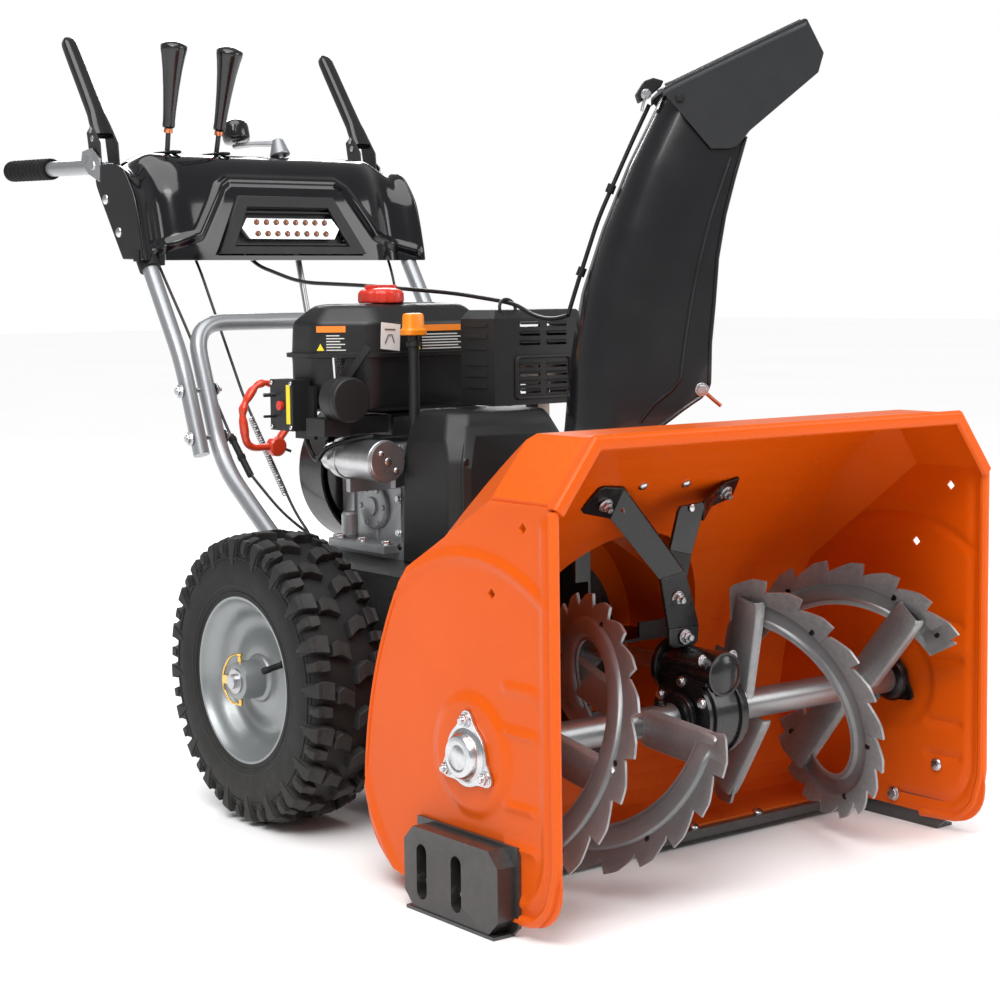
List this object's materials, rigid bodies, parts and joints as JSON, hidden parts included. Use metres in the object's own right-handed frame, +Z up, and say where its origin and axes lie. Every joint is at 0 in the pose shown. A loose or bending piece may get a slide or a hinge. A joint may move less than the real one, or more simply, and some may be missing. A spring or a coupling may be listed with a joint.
{
  "type": "snow blower",
  "caption": "Walk-behind two-stage snow blower: auger housing with serrated augers, turning chute with tilting hood, engine, wheels, console and handles.",
  "frame": {"origin": "on the ground, at the middle of the overall width and length", "axes": "+Z up; the snow intake faces -Y and the operator stands at +Y; +X is the operator's left-hand side when facing forward"},
  "size_m": [0.794, 1.6199, 1.1449],
  "materials": {
    "housing_paint": "gloss powder coat",
    "frame_paint": "satin black paint",
    "auger_paint": "satin grey paint",
    "gear_case": "satin black paint",
    "zinc": "bright zinc plate",
    "steel": "machined",
    "handle_paint": "silver-grey paint",
    "rim_paint": "silver-grey paint",
    "engine_alloy": "die cast",
    "cover_plastic": "fine texture",
    "gloss_black": "gloss",
    "tank_plastic": "satin",
    "hood_plastic": "fine texture",
    "grip_foam": "foam",
    "belt_rubber": "matte",
    "cable_jacket": "smooth",
    "tyre": "moulded",
    "bronze": "machined",
    "pin_gold": "yellow zinc plate",
    "red_plastic": "gloss",
    "orange_plastic": "gloss",
    "lamp_lens": "clear",
    "muffler_steel": "heat stained"
  },
  "bodies": {
    "machine": {"auger_housing": "housing_paint", "side_plate_left": "housing_paint", "side_plate_right": "housing_paint", "impeller_housing": "housing_paint", "scraper_bar": "frame_paint", "bearing_flanges": "zinc", "brace_straps": "gear_case", "gearbox_case": "gear_case", "tractor_frame": "frame_paint", "belt_cover": "cover_plastic", "engine_block": "engine_alloy", "blower_housing": "frame_paint", "fuel_tank": "tank_plastic", "starter_motor": "zinc", "switch_box": "cover_plastic", "intake_cap": "cover_plastic", "muffler": "muffler_steel", "muffler_guard": "frame_paint", "dipstick_tube": "cover_plastic", "belts": "belt_rubber", "handle_lower": "handle_paint", "handle_upper": "handle_paint", "grips": "grip_foam", "console_shell": "gloss_black", "console_bezel": "cover_plastic", "led_lamp": "lamp_lens", "control_cables": "cable_jacket", "fasteners": "zinc"},
    "wheels": {"axle": "steel", "tyres": "tyre", "rims": "rim_paint", "hub_pins": "pin_gold"},
    "hex_shaft": {"hex_shaft": "steel"},
    "friction_wheel": {"friction_wheel": "belt_rubber"},
    "crankshaft": {"crankshaft": "steel"},
    "friction_disc": {"friction_disc": "steel"},
    "auger": {"auger_shaft": "zinc", "auger_flights_left": "auger_paint", "auger_flights_right": "auger_paint", "worm_wheel": "bronze"},
    "impeller": {"impeller": "gear_case", "impeller_shaft": "steel"},
    "chute": {"chute_body": "gloss_black", "chute_cable": "cable_jacket"},
    "chute_deflector": {"chute_deflector": "hood_plastic"},
    "chute_pinion": {"chute_pinion": "steel"},
    "crank_handle": {"crank_handle": "zinc"},
    "speed_lever": {"speed_lever": "cover_plastic"},
    "deflector_lever": {"deflector_lever": "cover_plastic"},
    "clutch_lever_left": {"clutch_lever_left": "cover_plastic"},
    "clutch_lever_right": {"clutch_lever_right": "cover_plastic"},
    "auger_idler": {"auger_idler": "zinc"},
    "drive_idler": {"drive_idler": "zinc"},
    "skid_shoe_left": {"skid_shoe_left": "frame_paint"},
    "skid_shoe_right": {"skid_shoe_right": "frame_paint"},
    "recoil_handle": {"recoil_handle": "red_plastic"},
    "start_button": {"start_button": "red_plastic"},
    "throttle_lever": {"throttle_lever": "cover_plastic"},
    "fuel_cap": {"fuel_cap": "red_plastic"},
    "dipstick": {"dipstick": "orange_plastic"}
  },
  "joints": [
    {"name": "wheel_spin", "type": "hinge", "parent": "machine", "child": "wheels", "pos_m": [0, -0.09, 0.203], "axis": [1, 0, 0], "continuous": true},
    {"name": "hex_shaft_spin", "type": "hinge", "parent": "machine", "child": "hex_shaft", "pos_m": [0, -0.03008, 0.278], "axis": [1, 0, 0], "continuous": true},
    {"name": "speed_shift", "type": "slide", "parent": "hex_shaft", "child": "friction_wheel", "axis": [1, 0, 0], "range_m": [-0.045, 0.045]},
    {"name": "crank_spin", "type": "hinge", "parent": "machine", "child": "crankshaft", "pos_m": [0, -0.09, 0.465], "axis": [0, 1, 0], "continuous": true},
    {"name": "friction_disc_spin", "type": "hinge", "parent": "machine", "child": "friction_disc", "pos_m": [0, -0.09, 0.278], "axis": [0, 1, 0], "continuous": true},
    {"name": "auger_spin", "type": "hinge", "parent": "machine", "child": "auger", "pos_m": [0, -0.638, 0.198], "axis": [1, 0, 0], "continuous": true},
    {"name": "impeller_spin", "type": "hinge", "parent": "machine", "child": "impeller", "pos_m": [0, -0.42, 0.253], "axis": [0, 1, 0], "continuous": true},
    {"name": "chute_turn", "type": "hinge", "parent": "machine", "child": "chute", "pos_m": [0.06, -0.425, 0.446], "axis": [0, 0, 1], "range_deg": [-144, 36]},
    {"name": "chute_tilt", "type": "hinge", "parent": "chute", "child": "chute_deflector", "pos_m": [0.11339, -0.46379, 0.98], "axis": [0.5878, 0.809, 0], "range_deg": [0, 40]},
    {"name": "chute_pinion_spin", "type": "hinge", "parent": "machine", "child": "chute_pinion", "pos_m": [0.16641, -0.35979, 0.446], "axis": [0, 0, 1], "range_deg": [-180, 720]},
    {"name": "crank_turn", "type": "hinge", "parent": "machine", "child": "crank_handle", "pos_m": [0.048, 0.418, 0.958], "axis": [0, 0.2756, 0.9613], "range_deg": [-180, 720]},
    {"name": "speed_lever_tilt", "type": "hinge", "parent": "machine", "child": "speed_lever", "pos_m": [-0.159, 0.425, 0.88], "axis": [1, 0, 0], "range_deg": [-14, 14]},
    {"name": "deflector_lever_tilt", "type": "hinge", "parent": "machine", "child": "deflector_lever", "pos_m": [-0.07, 0.425, 0.88], "axis": [1, 0, 0], "range_deg": [0, 16]},
    {"name": "clutch_left_squeeze", "type": "hinge", "parent": "machine", "child": "clutch_lever_left", "pos_m": [0.246, 0.466, 0.934], "axis": [1, 0, 0], "range_deg": [-50, 0], "stiffness_Nm_per_rad": 3, "springref_deg": 20.05},
    {"name": "clutch_right_squeeze", "type": "hinge", "parent": "machine", "child": "clutch_lever_right", "pos_m": [-0.246, 0.466, 0.934], "axis": [1, 0, 0], "range_deg": [-50, 0], "stiffness_Nm_per_rad": 3, "springref_deg": 20.05},
    {"name": "auger_idler_swing", "type": "hinge", "parent": "machine", "child": "auger_idler", "pos_m": [-0.15, -0.244, 0.2], "axis": [0, 1, 0], "range_deg": [0, 4.2]},
    {"name": "drive_idler_swing", "type": "hinge", "parent": "machine", "child": "drive_idler", "pos_m": [0.15, -0.179, 0.25], "axis": [0, 1, 0], "range_deg": [-5, 0]},
    {"name": "skid_left_drop", "type": "slide", "parent": "machine", "child": "skid_shoe_left", "axis": [0, 0, -1], "range_m": [0, 0.027]},
    {"name": "skid_right_drop", "type": "slide", "parent": "machine", "child": "skid_shoe_right", "axis": [0, 0, -1], "range_m": [0, 0.027]},
    {"name": "recoil_pull", "type": "slide", "parent": "machine", "child": "recoil_handle", "axis": [-0.9, 0, 0.4359], "range_m": [0, 0.5], "stiffness_N_per_m": 12, "springref_m": -0.1},
    {"name": "start_press", "type": "slide", "parent": "machine", "child": "start_button", "axis": [1, 0, 0], "range_m": [0, 0.004], "stiffness_N_per_m": 400, "springref_m": -0.002},
    {"name": "throttle_turn", "type": "hinge", "parent": "machine", "child": "throttle_lever", "pos_m": [-0.147, -0.057, 0.606], "axis": [-0.66, -0.7513, 0], "range_deg": [-30, 20]},
    {"name": "fuel_cap_turn", "type": "hinge", "parent": "machine", "child": "fuel_cap", "pos_m": [-0.06, -0.024, 0.7163], "axis": [0, 0, 1], "range_deg": [0, 90]},
    {"name": "dipstick_lift", "type": "slide", "parent": "machine", "child": "dipstick", "axis": [0, 0, 1], "range_m": [0, 0.2]}
  ],
  "couplings": [
    {"joint": "hex_shaft_spin", "follows": "wheel_spin", "ratio": -3},
    {"joint": "speed_shift", "follows": "speed_lever_tilt", "m_per_rad": 0.1841},
    {"joint": "friction_disc_spin", "follows": "crank_spin", "ratio": 0.46667},
    {"joint": "impeller_spin", "follows": "auger_spin", "ratio": -16},
    {"joint": "chute_pinion_spin", "follows": "chute_turn", "ratio": -5},
    {"joint": "crank_turn", "follows": "chute_turn", "ratio": -5},
    {"joint": "deflector_lever_tilt", "follows": "chute_tilt", "ratio": 0.4},
    {"joint": "auger_idler_swing", "follows": "clutch_right_squeeze", "ratio": -0.084},
    {"joint": "drive_idler_swing", "follows": "clutch_left_squeeze", "ratio": 0.1}
  ]
}
